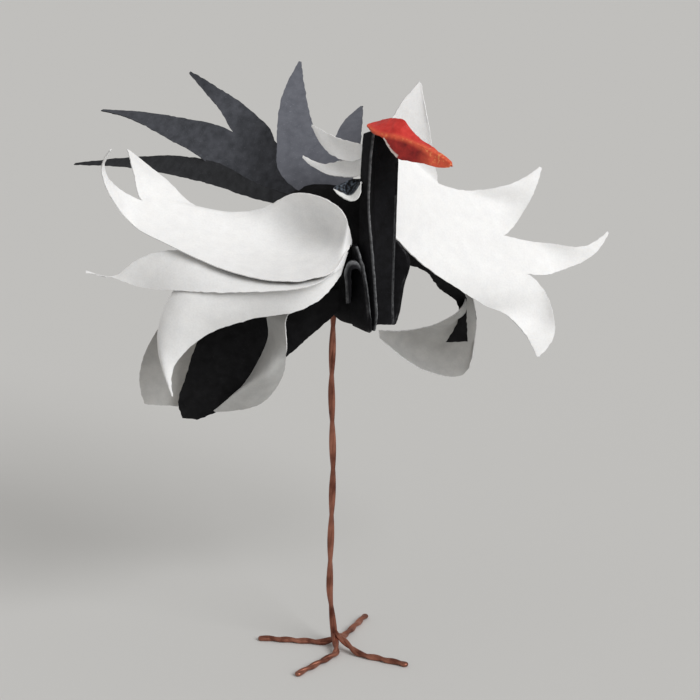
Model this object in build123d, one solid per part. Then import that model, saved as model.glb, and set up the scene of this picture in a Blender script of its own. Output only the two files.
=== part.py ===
from build123d import *
import math
import os

import numpy as np

# Every size is in millimetres. The origin lies on the floor under the leg,
# with +Z up, +X towards the beak's side and +Y away from the near wing.

# Folded sheet
PAPER_THICKNESS = 0.2
STRIP_TIP_WIDTH = 0.35
SLIT_OPENING_SHARE = 0.15
HEADING_DEGREES = 45.0

# Body, a hollow of pressed layers that the leg carries
BODY_CLEARANCE = 56.6
BODY_FRONT_LENGTH = 8.5
BODY_REAR_LENGTH = 9.0
BODY_NEAR_WIDTH = 2.4
BODY_FAR_WIDTH = 3.0
BODY_HEIGHT = 22.0
BODY_WALL = 0.6

# Neck and chest folds, each a doubled layer with its ridge to the front
NECK_RISE = 9.9
NECK_HEIGHT = BODY_HEIGHT + NECK_RISE
NECK_LENGTH = 3.3
FOLD_THICKNESS = 1.1
RIDGE_THICKNESS = 0.5

# Reach, depth and rise of each group of strips, from where it leaves the body
NEAR_WING_REACH = 40.0
NEAR_WING_DEPTH = 12.0
NEAR_WING_RISE = 24.0
FAR_WING_REACH = 37.0
FAR_WING_DEPTH = 24.0
FAR_WING_RISE = 20.0
TAIL_REACH = 44.0
TAIL_DEPTH = 30.0
TAIL_RISE = 20.0
PLUME_REACH = 9.0
PLUME_DEPTH = 9.0
PLUME_RISE = 4.0
ROOT_SPAN = 10.0

# Red head, a crumpled cap folded over the top of the neck
HEAD_LENGTH = 15.8
HEAD_WIDTH = 6.6
HEAD_HEIGHT = 5.9
HEAD_OVERHANG = 1.7

# Copper wire, doubled back on itself in the leg and in every toe
WIRE_DIAMETER = 0.6
STRAND_SPACING = 0.54
WIRE_FIT = 0.02
WIRE_IN_BODY = 2.4
LEG_SWAY = 0.8
HUB_HEIGHT = 2.4
RIGHT_TOE_LENGTH = 14.9
FRONT_TOE_LENGTH = 13.7
LEFT_TOE_LENGTH = 12.9
BACK_TOE_LENGTH = 12.9

# Strips of the near wing, as rows of points from the root to the tip. Each point is rearward,
# away from the viewer and up. The root row is over ROOT_SPAN, the others over the wing's sizes.
NEAR_STRIPS_SHARES = [
    # White strip under the spoon
    [
        [(-0.02, 0.01, 0.01), (0.01, -0.01, -0.1)],
        [(0.125, -0.835, 0.07), (0.14, -0.96, -0.02)],
        [(0.405, -0.81, 0.09), (0.415, -0.94, 0.01), (0.42, -0.96, -0.07)],
        [(0.63, -0.46, 0.17), (0.64, -0.71, 0.03), (0.655, -0.75, -0.085)],
        [(0.865, -0.335, 0.03), (0.82, -0.415, -0.085)],
        [(1.015, -0.29, -0.025)],
    ],
    # White strip that drops away below it
    [
        [(-0.01, -0.01, -0.1), (0.02, -0.02, -0.24)],
        [(0.145, -0.86, 0.01), (0.18, -0.75, -0.195)],
        [(0.4, -0.875, -0.025), (0.385, -0.835, -0.155), (0.38, -0.75, -0.27)],
        [(0.645, -0.665, -0.05), (0.61, -0.835, -0.215), (0.565, -0.75, -0.39)],
        [(0.74, -0.71, -0.42), (0.715, -0.81, -0.51), (0.68, -0.79, -0.59)],
        [(0.685, -0.875, -0.765)],
    ],
    # Black band with a rounded end
    [
        [(0.01, 0.12, -0.42), (0.19, 0.19, -0.81)],
        [(0.35, 0.125, -0.26), (0.2, 0.125, -0.565)],
        [(0.58, 0.21, -0.475), (0.355, 0.125, -0.795)],
        [(0.66, 0.21, -0.805), (0.47, 0.125, -0.945)],
        [(0.69, 0.21, -0.99), (0.54, 0.165, -1.04)],
        [(0.675, 0.21, -1.085), (0.615, 0.21, -1.095)],
    ],
    # Broad black curl with a flat end
    [
        [(0.01, 0.27, -0.36), (0.16, 0.27, -0.71)],
        [(0.4, 0.46, -0.235), (0.345, 0.46, -0.51)],
        [(0.665, 0.54, -0.35), (0.545, 0.54, -0.66)],
        [(0.805, 0.46, -0.595), (0.645, 0.46, -0.805)],
        [(0.85, 0.375, -0.845), (0.67, 0.375, -0.93)],
        [(0.83, 0.335, -1.01), (0.695, 0.335, -1.025)],
    ],
    # Black curl that hangs like a trough
    [
        [(0.01, 0.03, -0.35), (0.06, 0.06, -0.5)],
        [(0.195, -0.21, -0.165), (0.175, -0.21, -0.245)],
        [(0.315, -0.165, -0.255), (0.28, -0.29, -0.275), (0.245, -0.415, -0.295)],
        [(0.325, -0.04, -0.505), (0.28, -0.335, -0.5), (0.25, -0.415, -0.535)],
        [(0.39, 0, -0.735), (0.325, -0.375, -0.68), (0.275, -0.125, -0.765)],
        [(0.465, -0.04, -0.895), (0.435, -0.21, -0.845), (0.37, -0.04, -0.955)],
        [(0.54, -0.04, -1)],
    ],
]

# Palm of the near wing's spoon, and the two feathers that a slit divides it into
NEAR_PALM_SHARES = [
    [(-0.02, 0, 0.12), (0, 0, 0.06), (0.01, 0, 0.01)],
    [(0.005, -0.54, 0.285), (0.02, -0.29, 0.125), (0.055, -0.75, 0.06)],
    [(0.07, -0.375, 0.43), (0.115, -0.165, 0.19), (0.155, -0.915, 0.01)],
    [(0.205, -0.04, 0.47), (0.265, -0.04, 0.195), (0.255, -0.96, 0.005)],
    [(0.345, 0.21, 0.36), (0.43, -0.04, 0.19), (0.395, -0.875, 0.025)],
    [(0.595, 0.375, 0.335), (0.805, -0.04, 0.42), (0.805, -0.46, 0.27)],
]
NEAR_FEATHERS_SHARES = [
    [
        [(0.73, 0.5, 0.51), (0.84, 0.125, 0.59)],
        [(0.875, 0.625, 0.69)],
    ],
    [
        [(0.895, -0.29, 0.54), (0.895, -0.54, 0.46)],
        [(0.925, -0.625, 0.705), (0.935, -0.665, 0.695)],
        [(0.89, -0.875, 0.83)],
    ],
]

# Strips of the far wing, with each point forward, away from the viewer and up
FAR_STRIPS_SHARES = [
    # Black spike seen edge on
    [
        [(0.01, -0.01, -0.27), (0.03, -0.01, -0.19)],
        [(0.11, 0.31, -0.31), (0.13, 0.31, -0.26)],
        [(0.2, 0.48, -0.525), (0.235, 0.52, -0.505)],
        [(0.27, 0.645, -0.755), (0.345, 0.665, -0.735)],
        [(0.305, 0.79, -1.005), (0.365, 0.81, -1.005)],
        [(0.335, 0.855, -1.21)],
    ],
    # Strip that curls back up on itself
    [
        [(0, 0, -0.08), (0.01, -0.01, -0.15)],
        [(0.19, 0.645, -0.265), (0.185, 0.605, -0.435)],
        [(0.36, 0.855, -0.715), (0.385, 0.855, -0.765)],
        [(0.335, 0.71, -0.865), (0.405, 0.96, -1.06), (0.425, 1.02, -1.185)],
        [(0.245, 0.81, -0.97), (0.325, 1.02, -1.275), (0.34, 1.02, -1.515)],
        [(0.14, 0.895, -1.09), (0.15, 0.98, -1.32), (0.16, 0.895, -1.46)],
        [(-0.035, 0.81, -1.08)],
    ],
]

# Palm of the far wing and its four feathers
FAR_PALM_SHARES = [
    [(-0.04, 0.03, 0.26), (-0.02, 0.02, 0.19), (0, 0.01, 0.11), (0.01, 0, 0.03), (0.03, -0.01, -0.04)],
    [(-0.02, 0.27, 0.44), (0.105, 0.395, 0.21), (0.185, 0.395, -0.095),
     (0.185, 0.31, -0.24), (0.16, 0.19, -0.35)],
    [(0.005, 0.48, 0.755), (0.225, 0.645, 0.205), (0.52, 0.73, -0.25),
     (0.62, 0.645, -0.55), (0.445, 0.48, -0.775)],
]
FAR_FEATHERS_SHARES = [
    [
        [(0.065, 0.52, 0.9), (0.135, 0.56, 0.745), (0.185, 0.56, 0.635)],
        [(0.14, 0.56, 1.04)],
    ],
    [
        [(0.385, 0.81, 0.105), (0.51, 0.875, -0.015), (0.615, 0.855, -0.075)],
        [(0.56, 0.895, 0.145), (0.665, 0.915, 0.08)],
        [(0.695, 1.02, 0.25)],
    ],
    [
        [(0.74, 0.895, -0.365), (0.765, 0.91, -0.49), (0.785, 0.855, -0.585)],
        [(0.915, 0.98, -0.4), (0.945, 0.96, -0.47)],
        [(1.01, 1.06, -0.315)],
    ],
    [
        [(0.74, 0.605, -0.865), (0.665, 0.605, -0.925), (0.575, 0.52, -0.935)],
        [(0.74, 0.52, -1.05), (0.63, 0.48, -1.055)],
        [(0.67, 0.44, -1.185)],
    ],
]

# Strips of the tail, with each point rearward, away from the viewer and up
TAIL_STRIPS_SHARES = [
    # Low strip to the rear
    [
        [(0.07, 0.11, -0.12), (0.1, 0.09, -0.21)],
        [(0.25, 0.185, 0), (0.26, 0.185, -0.05)],
        [(0.5, 0.465, 0.1), (0.49, 0.435, 0.015)],
        [(0.765, 0.765, 0.11), (0.745, 0.735, 0.025)],
        [(1.02, 1.035, -0.005)],
    ],
    # Tall upright strip
    [
        [(0.24, 0, -0.06), (-0.08, -0.18, 0.07)],
        [(0.165, 0.085, 0.12), (-0.07, 0, 0.16)],
        [(0.205, 0.215, 0.405), (0.05, 0.2, 0.425)],
        [(0.185, 0.415, 0.755), (0.1, 0.4, 0.725)],
        [(0.125, 0.565, 0.975)],
    ],
    # Strip behind the neck
    [
        [(-0.03, -0.12, -0.02), (-0.16, -0.21, 0.05)],
        [(0.01, 0.265, 0.22), (-0.09, 0.235, 0.255)],
        [(-0.025, 0.535, 0.445), (-0.105, 0.5, 0.47)],
        [(-0.105, 0.735, 0.57)],
    ],
]

# Palm of the tail and its two feathers
TAIL_PALM_SHARES = [
    [(0.11, 0.06, -0.14), (0.15, 0.06, -0.2), (0.18, 0.06, -0.27)],
    [(0.12, 0.2, 0.055), (0.15, 0.235, -0.015), (0.18, 0.2, -0.07)],
    [(0.2, 0.4, 0.285), (0.265, 0.435, 0.2), (0.33, 0.365, 0.02)],
    [(0.24, 0.5, 0.45), (0.38, 0.565, 0.395), (0.48, 0.5, 0.165)],
]
TAIL_FEATHERS_SHARES = [
    [
        [(0.34, 0.635, 0.605), (0.43, 0.635, 0.565)],
        [(0.455, 0.735, 0.745), (0.485, 0.735, 0.675)],
        [(0.55, 0.835, 0.83)],
    ],
    [
        [(0.555, 0.7, 0.47), (0.635, 0.665, 0.32)],
        [(0.725, 0.835, 0.49), (0.77, 0.8, 0.435)],
        [(0.9, 0.965, 0.48)],
    ],
]

# Plumes at the front of the neck, over the plumes' sizes
PLUME_STRIPS_SHARES = [
    # Upper plume
    [
        [(-0.02, 0, 0.23), (-0.01, 0, 0.04)],
        [(0.32, 0.34, 0.6), (0.36, 0.4, 0.2), (0.34, 0.28, -0.16)],
        [(0.6, 0.62, 0.74), (0.62, 0.58, 0.06)],
        [(0.9, 0.9, 0.96)],
    ],
    # Lower plume
    [
        [(-0.02, 0, 0.03), (-0.01, 0, -0.25)],
        [(0.36, 0.34, -0.2), (0.36, 0.4, -0.5), (0.36, 0.28, -0.8)],
        [(0.72, 0.62, -0.42), (0.74, 0.58, -0.72)],
        [(1.06, 0.84, -0.24)],
    ],
    # Cupped plume at the neck's foot
    [
        [(0.06, -0.06, -0.32), (-0.02, 0, -0.38)],
        [(0.08, -0.2, -1.24), (0.14, 0.04, -1.04), (0, 0.18, -0.86)],
        [(0.24, -0.22, -1.48), (0.28, 0.12, -1.22), (0.2, 0.22, -0.84)],
        [(0.4, -0.12, -1.36), (0.32, 0.18, -0.94)],
        [(0.52, 0.04, -1.12)],
    ],
]


def bernstein(degree, places):
    """Bernstein weights of a degree, one row for each place from 0 to 1."""
    return np.array([[math.comb(degree, k) * t**k * (1 - t) ** (degree - k)
                      for k in range(degree + 1)] for t in places])


def net_across(line):
    """Control points of the Bezier curve that passes through a row of points."""
    return np.linalg.inv(bernstein(len(line) - 1, np.linspace(0, 1, len(line)))) @ line


def split_row(row, place):
    """Both halves of a Bezier curve that is cut at a place from 0 to 1."""
    first, second = [row[0]], [row[-1]]
    while len(row) > 1:
        row = (1 - place) * row[:-1] + place * row[1:]
        first.append(row[0])
        second.append(row[-1])
    return np.array(first), np.array(second[::-1])


def cut_row(row, start, end):
    """The part of a Bezier curve between two places along it."""
    kept = split_row(row, end)[0] if end < 1 else row
    return split_row(kept, start / end)[1] if start > 0 else kept


def raise_degree(row, degree):
    """The same Bezier curve with more control points."""
    while len(row) <= degree:
        n = len(row)
        inner = [row[k - 1] * k / n + row[k] * (1 - k / n) for k in range(1, n)]
        row = np.array([row[0], *inner, row[-1]])
    return row


def row_slopes(rows, steps, start_slope=None):
    """Smooth slopes of a strip at each of its rows, for one millimetre of its length."""
    chords = [(after - before) / step for before, after, step in zip(rows, rows[1:], steps)]
    inner = [(chords[k] * steps[k + 1] + chords[k + 1] * steps[k]) / (steps[k] + steps[k + 1])
             for k in range(len(chords) - 1)]
    first = (3 * chords[0] - inner[0]) / 2 if inner else chords[0]
    last = (3 * chords[-1] - inner[-1]) / 2 if inner else chords[-1]
    return [first if start_slope is None else start_slope, *inner, last]


def spans_through(rows, start_slope=None, opening=0):
    """Cubic control nets, one from each row of a strip to the next."""
    steps = [np.linalg.norm((after - before).mean(axis=0)) for before, after in zip(rows, rows[1:])]
    slopes = row_slopes(rows, steps, start_slope)
    nets = []
    for k, step in enumerate(steps):
        second = rows[k] + slopes[k] * step / 3
        third = rows[k + 1] - slopes[k + 1] * step / 3
        if k == 0:
            second = second + (second.mean(axis=0) - second) * opening
        nets.append(np.array([rows[k], second, third, rows[k + 1]]))
    return nets


def net_normals(net):
    """Unit normals of a Bezier sheet, one for each of its control points."""
    n, m = net.shape[0] - 1, net.shape[1] - 1
    u, v = np.linspace(0, 1, n + 1), np.linspace(0, 1, m + 1)
    along = np.einsum("ui,vj,ijk->uvk", bernstein(n - 1, u), bernstein(m, v), np.diff(net, axis=0))
    across = np.einsum("ui,vj,ijk->uvk", bernstein(n, u), bernstein(m - 1, v), np.diff(net, axis=1))
    normals = np.cross(along, across)
    return normals / np.linalg.norm(normals, axis=2, keepdims=True)


def thicken(nets, first_rows=None):
    """Front and back nets of a run of spans, half the paper's thickness to each side."""
    fronts, backs = [], []
    for net in nets:
        offset = net_normals(net) * PAPER_THICKNESS / 2
        front, back = net + offset, net - offset
        if first_rows:
            front[0], back[0] = first_rows
        first_rows = front[-1], back[-1]
        fronts.append(front)
        backs.append(back)
    return fronts, backs


def bezier_face(net):
    """One Bezier face from a control net."""
    return Face.make_bezier_surface([[Vector(*point) for point in row] for row in net])


def run_faces(fronts, backs, left=True, right=True):
    """Both sides of a run of spans, with the cut edges that it has."""
    faces = [bezier_face(net) for net in (*fronts, *backs)]
    for front, back in zip(fronts, backs):
        if left:
            faces.append(bezier_face([front[:, 0], back[:, 0]]))
        if right:
            faces.append(bezier_face([front[:, -1], back[:, -1]]))
    return faces


def end_face(front_row, back_row):
    """The cut edge of the paper across the end of a strip."""
    return bezier_face([front_row, back_row])


def placed_rows(frame, rows_shares, has_root):
    """Rows of points in space. A root row is over the root span, and so keeps its place."""
    origin, root_sizes, sizes = frame
    placed = [origin + sizes * np.array(row) for row in rows_shares]
    if has_root:
        placed[0] = origin + root_sizes * np.array(rows_shares[0])
    return placed


def widened_tip(rows):
    """The same rows, with a single point at the tip spread to the tip's width."""
    tip, edge = rows[-1], rows[-2][-1] - rows[-2][0]
    if len(tip) == 1:
        edge = edge / np.linalg.norm(edge) * STRIP_TIP_WIDTH / 2
        tip = np.array([tip[0] - edge, tip[0] + edge])
    return [*rows[:-1], tip]


def curved_rows(rows, degree):
    """Control points of every row, all of one degree."""
    return [raise_degree(net_across(row), degree) for row in rows]


def strip(frame, rows_shares):
    """A curled strip of paper from its root to its tip."""
    rows = widened_tip(placed_rows(frame, rows_shares, True))
    rows = curved_rows(rows, max(len(row) for row in rows) - 1)
    fronts, backs = thicken(spans_through(rows))
    ends = [end_face(fronts[0][0], backs[0][0]), end_face(fronts[-1][-1], backs[-1][-1])]
    return Solid(Shell(run_faces(fronts, backs) + ends))


def fan(frame, palm_shares, feathers_shares):
    """A palm of paper that slits divide into feathers past its last row."""
    rows = placed_rows(frame, palm_shares, True)
    degree = len(rows[0]) - 1
    rows = curved_rows(rows, degree)
    palm = spans_through(rows)
    fronts, backs = thicken(palm)
    slope = (palm[-1][3] - palm[-1][2]) * 3
    slope = slope / np.linalg.norm((palm[-1][3] - palm[-1][0]).mean(axis=0))
    slits = np.linspace(0, 1, len(feathers_shares) + 1)
    faces = []
    for k, feather_shares in enumerate(feathers_shares):
        span = slits[k], slits[k + 1]
        upper, lower = ([np.array([cut_row(row, *span) for row in net]) for net in nets]
                        for nets in (fronts, backs))
        faces += run_faces(upper, lower, left=k == 0, right=k == len(feathers_shares) - 1)
        faces.append(end_face(upper[0][0], lower[0][0]))
        others = curved_rows(widened_tip(placed_rows(frame, feather_shares, False)), degree)
        base = cut_row(rows[-1], *span)
        feather = spans_through([base, *others], cut_row(slope, *span), SLIT_OPENING_SHARE)
        over, under = thicken(feather, (upper[-1][-1], lower[-1][-1]))
        faces += run_faces(over, under)
        faces.append(end_face(over[-1][-1], under[-1][-1]))
    return Solid(Shell(faces))


def body_point(forward, side, height):
    """A point of the body, from its heading, its far side and its underside."""
    angle = math.radians(HEADING_DEGREES)
    x = forward * math.cos(angle) + side * math.sin(angle)
    y = side * math.cos(angle) - forward * math.sin(angle)
    return Vector(x, y, BODY_CLEARANCE + height)


def side_width(side_share):
    """Half width of the body on the far side, or on the near side for a negative share."""
    return BODY_FAR_WIDTH if side_share > 0 else BODY_NEAR_WIDTH


def ruled_solid(sections):
    """A solid of flat facets through sections that have as many corners each."""
    return Solid.make_loft([Wire.make_polygon(section, close=True) for section in sections], ruled=True)


# Body sections: place along the body, and its height from and to, over the length and height,
# then its width. The corners of each run from the top fold round the far side.
BODY_SECTIONS_SHARES = [
    (-1.0, 0.53, 0.86, 0.55),
    (-0.55, 0.25, 0.95, 0.8),
    (0.2, 0.0, 0.99, 1.0),
    (1.0, 0.0, 1.0, 1.0),
]
BODY_CORNERS_SHARES = [(0.0, 1.0), (0.9, 0.9), (0.55, 0.07), (0.0, 0.0), (-0.6, 0.07), (-1.0, 0.78)]
REAR_OPENING_SHARE = 1.1


def body_section(place_share, low_share, high_share, width_share, inset=0):
    """Six corners of the body at one place, or of the hollow inside it."""
    forward = place_share * (BODY_FRONT_LENGTH if place_share > 0 else BODY_REAR_LENGTH)
    low, high = low_share * BODY_HEIGHT + inset, high_share * BODY_HEIGHT - inset
    corners = []
    for side_share, up_share in BODY_CORNERS_SHARES:
        side = side_share * (side_width(side_share) * width_share - inset)
        corners.append(body_point(forward, side, low + up_share * (high - low)))
    return corners


def make_body():
    """The pressed body, open at its rear where the tail comes out."""
    outside = ruled_solid([body_section(*share) for share in BODY_SECTIONS_SHARES])
    rear, *middle, front = BODY_SECTIONS_SHARES
    opening = (rear[0] * REAR_OPENING_SHARE, *rear[1:])
    closed = (front[0] - BODY_WALL / BODY_FRONT_LENGTH, *front[1:])
    inside = [body_section(*share, inset=BODY_WALL) for share in (opening, *middle, closed)]
    return outside - ruled_solid(inside)


# Folds of the neck and chest, from the top down: ridge forward of the body's front,
# ridge to the side, back edge forward, back edge to the side, and height.
NEAR_NECK_SHARES = [
    (0.67, -0.83, -0.09, -0.75, 1.0),
    (0.55, -1.0, -0.09, -0.79, 0.655),
    (0.64, -0.88, -0.09, -0.75, 0.45),
    (0.91, -0.79, -0.09, -0.58, 0.085),
    (0.82, -0.79, -0.09, -0.5, 0.02),
]
FAR_NECK_SHARES = [
    (0.85, 0.93, -0.09, 0.87, 1.0),
    (0.82, 1.0, -0.09, 0.87, 0.645),
    (0.61, 1.07, -0.09, 0.87, 0.42),
    (0.64, 0.8, -0.09, 0.6, 0.175),
    (0.73, 0.8, -0.09, 0.47, 0.01),
]
NEAR_FLAP_SHARES = [
    (-0.03, -1.33, -0.45, -0.92, 0.415),
    (0.33, -1.38, -0.45, -0.92, 0.365),
    (0.58, -1.33, -0.6, -0.83, 0.29),
    (0.85, -1.21, -0.76, -0.67, 0.06),
    (0.58, -0.92, -0.76, -0.42, 0.0),
]
FAR_FLAP_SHARES = [
    (0.61, 1.27, -0.15, 0.87, 0.425),
    (1.03, 1.53, -0.15, 0.87, 0.355),
    (0.73, 1.3, -0.15, 0.67, 0.175),
    (0.61, 1.17, -0.15, 0.5, 0.01),
]


def make_fold(stations_shares):
    """One upright fold: thick at its back edge and narrow along its ridge."""
    sections = []
    for ridge, ridge_side, back, back_side, height in stations_shares:
        ahead, aside = BODY_FRONT_LENGTH + ridge * NECK_LENGTH, ridge_side * side_width(ridge_side)
        rear, rear_side = BODY_FRONT_LENGTH + back * NECK_LENGTH, back_side * side_width(back_side)
        up = height * NECK_HEIGHT
        sections.append([
            body_point(ahead, aside - RIDGE_THICKNESS / 2, up),
            body_point(ahead, aside + RIDGE_THICKNESS / 2, up),
            body_point(rear, rear_side + FOLD_THICKNESS / 2, up),
            body_point(rear, rear_side - FOLD_THICKNESS / 2, up),
        ])
    return ruled_solid(sections)


def make_neck_back():
    """The layer behind the two neck folds, which also closes the body's front."""
    sections = []
    for near, far in zip(NEAR_NECK_SHARES, FAR_NECK_SHARES):
        rear = BODY_FRONT_LENGTH + near[2] * NECK_LENGTH
        near_side, far_side = near[3] * BODY_NEAR_WIDTH, far[3] * BODY_FAR_WIDTH
        up = (near[4] + far[4]) / 2 * NECK_HEIGHT
        sections.append([
            body_point(rear, near_side, up),
            body_point(rear, far_side, up),
            body_point(rear + BODY_WALL, far_side, up),
            body_point(rear + BODY_WALL, near_side, up),
        ])
    return ruled_solid(sections)


def make_neck():
    """Two neck folds and the layer that joins them, which the head sits on."""
    return make_fold(NEAR_NECK_SHARES) + make_fold(FAR_NECK_SHARES) + make_neck_back()


# Where each group of strips leaves the body: forward, to the side and up
ROOT_SHARES = {
    "near": (0.61, -0.5, 0.45),
    "far": (1.09, 0.97, 0.7),
    "tail": (-0.236, 0.707, 0.836),
    "plume": (1.04, -0.796, 0.843),
}


def group_frame(group, length, height, sizes):
    """Where a group leaves the body, the signed root span there, and the group's signed sizes."""
    forward, side, up = ROOT_SHARES[group]
    place = body_point(forward * length, side * side_width(side), up * height)
    return np.array([place.X, place.Y, place.Z]), np.sign(sizes) * ROOT_SPAN, np.array(sizes)


def make_feathers():
    """Every wing, tail and plume strip, each a solid of its own."""
    near = group_frame("near", BODY_FRONT_LENGTH, BODY_HEIGHT,
                       (-NEAR_WING_REACH, NEAR_WING_DEPTH, NEAR_WING_RISE))
    far = group_frame("far", BODY_FRONT_LENGTH, BODY_HEIGHT,
                      (FAR_WING_REACH, FAR_WING_DEPTH, FAR_WING_RISE))
    tail = group_frame("tail", BODY_REAR_LENGTH, BODY_HEIGHT, (-TAIL_REACH, TAIL_DEPTH, TAIL_RISE))
    plume = group_frame("plume", BODY_FRONT_LENGTH, NECK_HEIGHT,
                        (-PLUME_REACH, PLUME_DEPTH, PLUME_RISE))
    feathers = [
        fan(near, NEAR_PALM_SHARES, NEAR_FEATHERS_SHARES),
        fan(far, FAR_PALM_SHARES, FAR_FEATHERS_SHARES),
        fan(tail, TAIL_PALM_SHARES, TAIL_FEATHERS_SHARES),
    ]
    for frame, strips_shares in (
        (near, NEAR_STRIPS_SHARES),
        (far, FAR_STRIPS_SHARES),
        (tail, TAIL_STRIPS_SHARES),
        (plume, PLUME_STRIPS_SHARES),
    ):
        feathers += [strip(frame, rows_shares) for rows_shares in strips_shares]
    return feathers


def make_folded_sheet():
    """The whole bird, folded and slit from one sheet, with a hole that grips the wire."""
    sheet = make_body() + make_neck() + make_fold(NEAR_FLAP_SHARES) + make_fold(FAR_FLAP_SHARES)
    for feather in make_feathers():
        sheet = sheet + feather
    start = Plane((0, 0, BODY_CLEARANCE - WIRE_IN_BODY))
    return sheet - extrude(pair_section(start, WIRE_FIT), 2 * WIRE_IN_BODY)


# Head sections: place along the head, height of its crest, height of its side folds,
# height of its chin, and its width.
HEAD_SECTIONS_SHARES = [
    (0.0, 0.83, 0.78, 0.66, 0.73),
    (0.16, 0.97, 0.73, 0.49, 0.97),
    (0.355, 1.0, 0.56, 0.1, 0.85),
    (0.49, 0.69, 0.44, 0.03, 0.67),
    (0.75, 0.44, 0.27, 0.0, 0.39),
    (1.0, 0.19, 0.12, 0.05, 0.1),
]
HEAD_BACK_SHARE = 0.27
CHIN_WIDTH_SHARE = 0.5


def make_head():
    """The cap, less the neck that fills it."""
    back = BODY_FRONT_LENGTH + HEAD_BACK_SHARE * NECK_LENGTH
    base = NECK_HEIGHT + HEAD_OVERHANG - HEAD_HEIGHT
    middle = (BODY_FAR_WIDTH - BODY_NEAR_WIDTH) / 2
    sections = []
    for place, crest, fold, chin, width in HEAD_SECTIONS_SHARES:
        forward, half = back + place * HEAD_LENGTH, width * HEAD_WIDTH / 2
        chin_half, chin_up = half * CHIN_WIDTH_SHARE, base + chin * HEAD_HEIGHT
        sections.append([
            body_point(forward, middle, base + crest * HEAD_HEIGHT),
            body_point(forward, middle + half, base + fold * HEAD_HEIGHT),
            body_point(forward, middle + chin_half, chin_up),
            body_point(forward, middle - chin_half, chin_up),
            body_point(forward, middle - half, base + fold * HEAD_HEIGHT),
        ])
    return ruled_solid(sections) - make_neck()


# Leg route from the top: height over the body's clearance, and sway to the side
LEG_ROUTE_SHARES = [(1.0, 0.0), (0.8, -0.4), (0.55, -0.1), (0.3, -0.7), (0.17, -0.9)]

# Toes: heading as a share of a full turn, where the knee is along it and its heading,
# and where it starts, as a share of the foot's height.
TOES = {
    "right": RIGHT_TOE_LENGTH,
    "front": FRONT_TOE_LENGTH,
    "left": LEFT_TOE_LENGTH,
    "back": BACK_TOE_LENGTH,
}
TOES_SHARES = {
    "right": (-0.1, 0.41, -0.136, 1.0),
    "front": (-0.319, 0.26, -0.211, 0.8),
    "left": (0.475, 0.14, 0.489, 0.5),
    "back": (0.18, 0.26, 0.161, 0.6),
}


def pair_section(plane, fit=0):
    """Section of the doubled wire, whose two strands lie pressed together side by side."""
    strands = [Pos(side * STRAND_SPACING / 2, 0) * Circle(WIRE_DIAMETER / 2 + fit) for side in (-1, 1)]
    return plane * (strands[0] + strands[1])


def make_strand(points):
    """One strand of the wire along straight runs, with a kink at each corner."""
    path = Polyline(*points)
    start = Plane(origin=path @ 0, z_dir=path % 0)
    return sweep(start * Circle(WIRE_DIAMETER / 2), path, transition=Transition.RIGHT)


def doubled_wire(points, aside):
    """Two strands that run side by side along one route."""
    half = aside * STRAND_SPACING / 2
    return make_strand([point + half for point in points]) + make_strand([point - half for point in points])


def make_leg():
    """The leg, from inside the body down to the middle of the foot."""
    route = [Vector(sway * LEG_SWAY, 0, height * BODY_CLEARANCE) for height, sway in LEG_ROUTE_SHARES]
    top, foot = Vector(0, 0, BODY_CLEARANCE + WIRE_IN_BODY / 2), Vector(0, 0, WIRE_DIAMETER)
    return doubled_wire([top, *route, Vector(0, 0, HUB_HEIGHT), foot], Vector(1, 0, 0))


def level_way(turn_share):
    """A level direction, from its heading as a share of a full turn."""
    angle = math.tau * turn_share
    return Vector(math.cos(angle), math.sin(angle))


def toe_end(tip, ahead, aside):
    """The turn at a toe's end, where one strand runs on into the other."""
    across = Plane(origin=tip, x_dir=aside, z_dir=ahead)
    reach = STRAND_SPACING + WIRE_DIAMETER
    half = across * Rectangle(reach, reach, align=(Align.MIN, Align.CENTER))
    return revolve(pair_section(across) & half, axis=Axis(tip, (0, 0, -1)), revolution_arc=180)


def make_toe(toe):
    """One toe, doubled wire from its rounded end over a knee to the middle of the foot."""
    turn, knee_share, knee_turn, start_share = TOES_SHARES[toe]
    lift = Vector(0, 0, WIRE_DIAMETER / 2)
    tip = level_way(turn) * (TOES[toe] - (STRAND_SPACING + WIRE_DIAMETER) / 2) + lift
    knee = level_way(knee_turn) * TOES[toe] * knee_share + lift
    ahead = (tip - knee).normalized()
    aside = Vector(-ahead.Y, ahead.X)
    hub = Vector(0, 0, HUB_HEIGHT * start_share)
    return doubled_wire([tip, knee, hub], aside) + toe_end(tip, ahead, aside)


def make_leg_wire():
    """Leg and toes, of one wire that runs out and back along each toe."""
    wire = make_leg()
    for toe in TOES:
        wire = wire + make_toe(toe)
    return wire


os.makedirs("parts", exist_ok=True)
for name, make in {
    "folded_sheet": make_folded_sheet,
    "red_head": make_head,
    "leg_wire": make_leg_wire,
}.items():
    export_step(make(), f"parts/{name}.step")
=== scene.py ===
import math

import bpy
import numpy as np
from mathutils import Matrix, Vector, noise


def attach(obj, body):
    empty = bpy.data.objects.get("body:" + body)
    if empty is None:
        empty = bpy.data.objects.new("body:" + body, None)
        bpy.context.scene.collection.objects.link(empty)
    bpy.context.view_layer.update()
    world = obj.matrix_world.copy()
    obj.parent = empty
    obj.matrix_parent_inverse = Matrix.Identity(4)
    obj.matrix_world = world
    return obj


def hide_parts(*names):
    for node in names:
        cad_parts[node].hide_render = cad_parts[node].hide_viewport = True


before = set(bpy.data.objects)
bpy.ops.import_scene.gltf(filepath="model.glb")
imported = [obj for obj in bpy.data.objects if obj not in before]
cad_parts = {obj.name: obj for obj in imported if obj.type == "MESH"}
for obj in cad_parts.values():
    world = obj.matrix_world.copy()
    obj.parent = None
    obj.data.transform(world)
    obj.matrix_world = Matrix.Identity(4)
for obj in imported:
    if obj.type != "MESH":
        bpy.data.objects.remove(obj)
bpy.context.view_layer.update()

# The sizes and places below are in millimetres, in the row's frame.
# MM turns them into metres where a mesh is made.
MM = 0.001
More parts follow.
